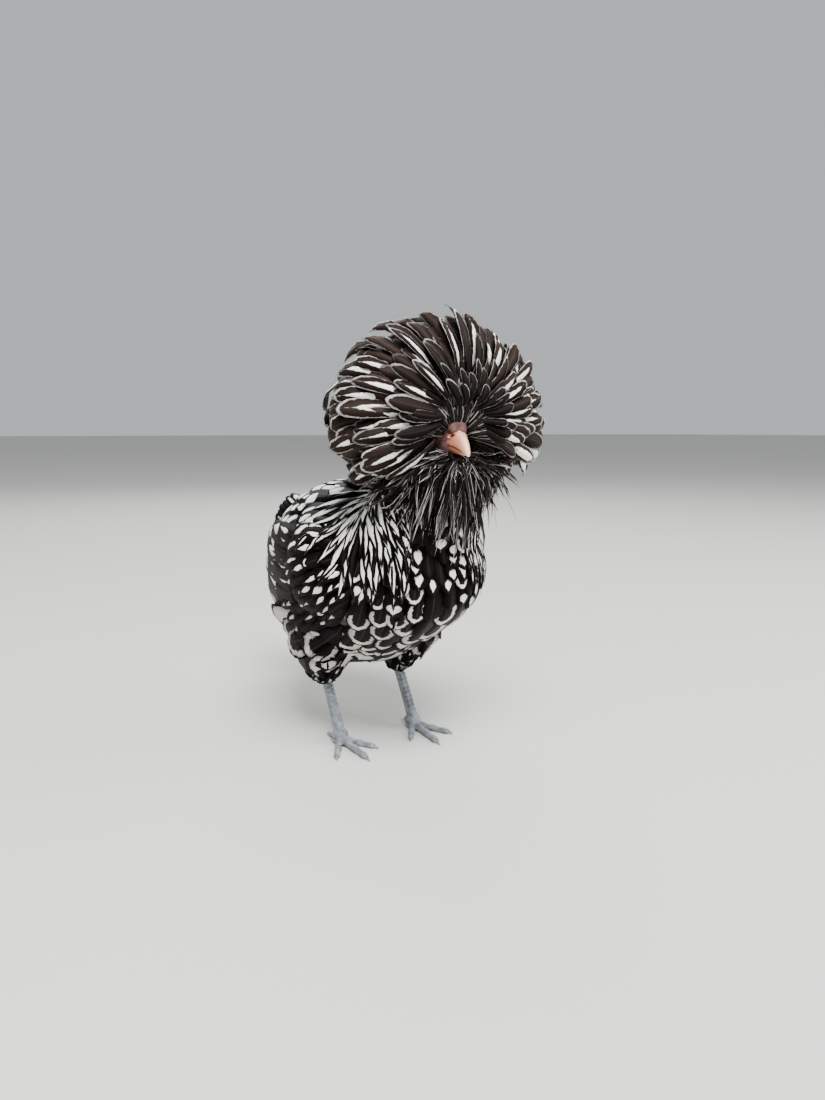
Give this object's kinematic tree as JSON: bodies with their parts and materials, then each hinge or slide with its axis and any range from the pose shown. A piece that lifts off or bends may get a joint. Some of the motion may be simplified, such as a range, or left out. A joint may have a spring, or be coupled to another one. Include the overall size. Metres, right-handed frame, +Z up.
{
  "type": "silver laced polish crested hen",
  "caption": "Life-size standing hen with a round feather crest, beard and muffs, folded wings, low tail and slate legs, for display or scenes.",
  "frame": {"origin": "the middle of the footprint of the whole hen, on the floor", "axes": "+Z up; the hen faces -Y with its left side at +X"},
  "size_m": [0.1942, 0.3466, 0.366],
  "materials": {
    "body_feathers": "white feathers with black edges, soft sheen",
    "dark_feathers": "black feathers with white centres and pale edges, soft sheen",
    "bare_skin": "thin pink-red skin, finely wrinkled",
    "bill": "pale horn, smooth and slightly glossy",
    "eye": "wet, clear cornea over a red-brown iris",
    "leg_scales": "slate-grey horny plates",
    "claws": "pale horn"
  },
  "bodies": {
    "root": {"torso": "body_feathers", "neck": "body_feathers", "head": "bare_skin", "bill_upper": "bill", "bill_lower": "bill", "comb": "bare_skin", "eye_left": "eye", "eye_right": "eye", "beard": "dark_feathers", "crest": "dark_feathers", "tail": "dark_feathers", "wing_left": "dark_feathers", "wing_right": "dark_feathers", "thigh_left": "dark_feathers", "thigh_right": "dark_feathers", "shank_left": "leg_scales", "shank_right": "leg_scales", "foot_left": "leg_scales", "foot_right": "leg_scales", "claw_left_inner": "claws", "claw_left_middle": "claws", "claw_left_outer": "claws", "claw_left_hind": "claws", "claw_right_inner": "claws", "claw_right_middle": "claws", "claw_right_outer": "claws", "claw_right_hind": "claws"}
  },
  "joints": []
}
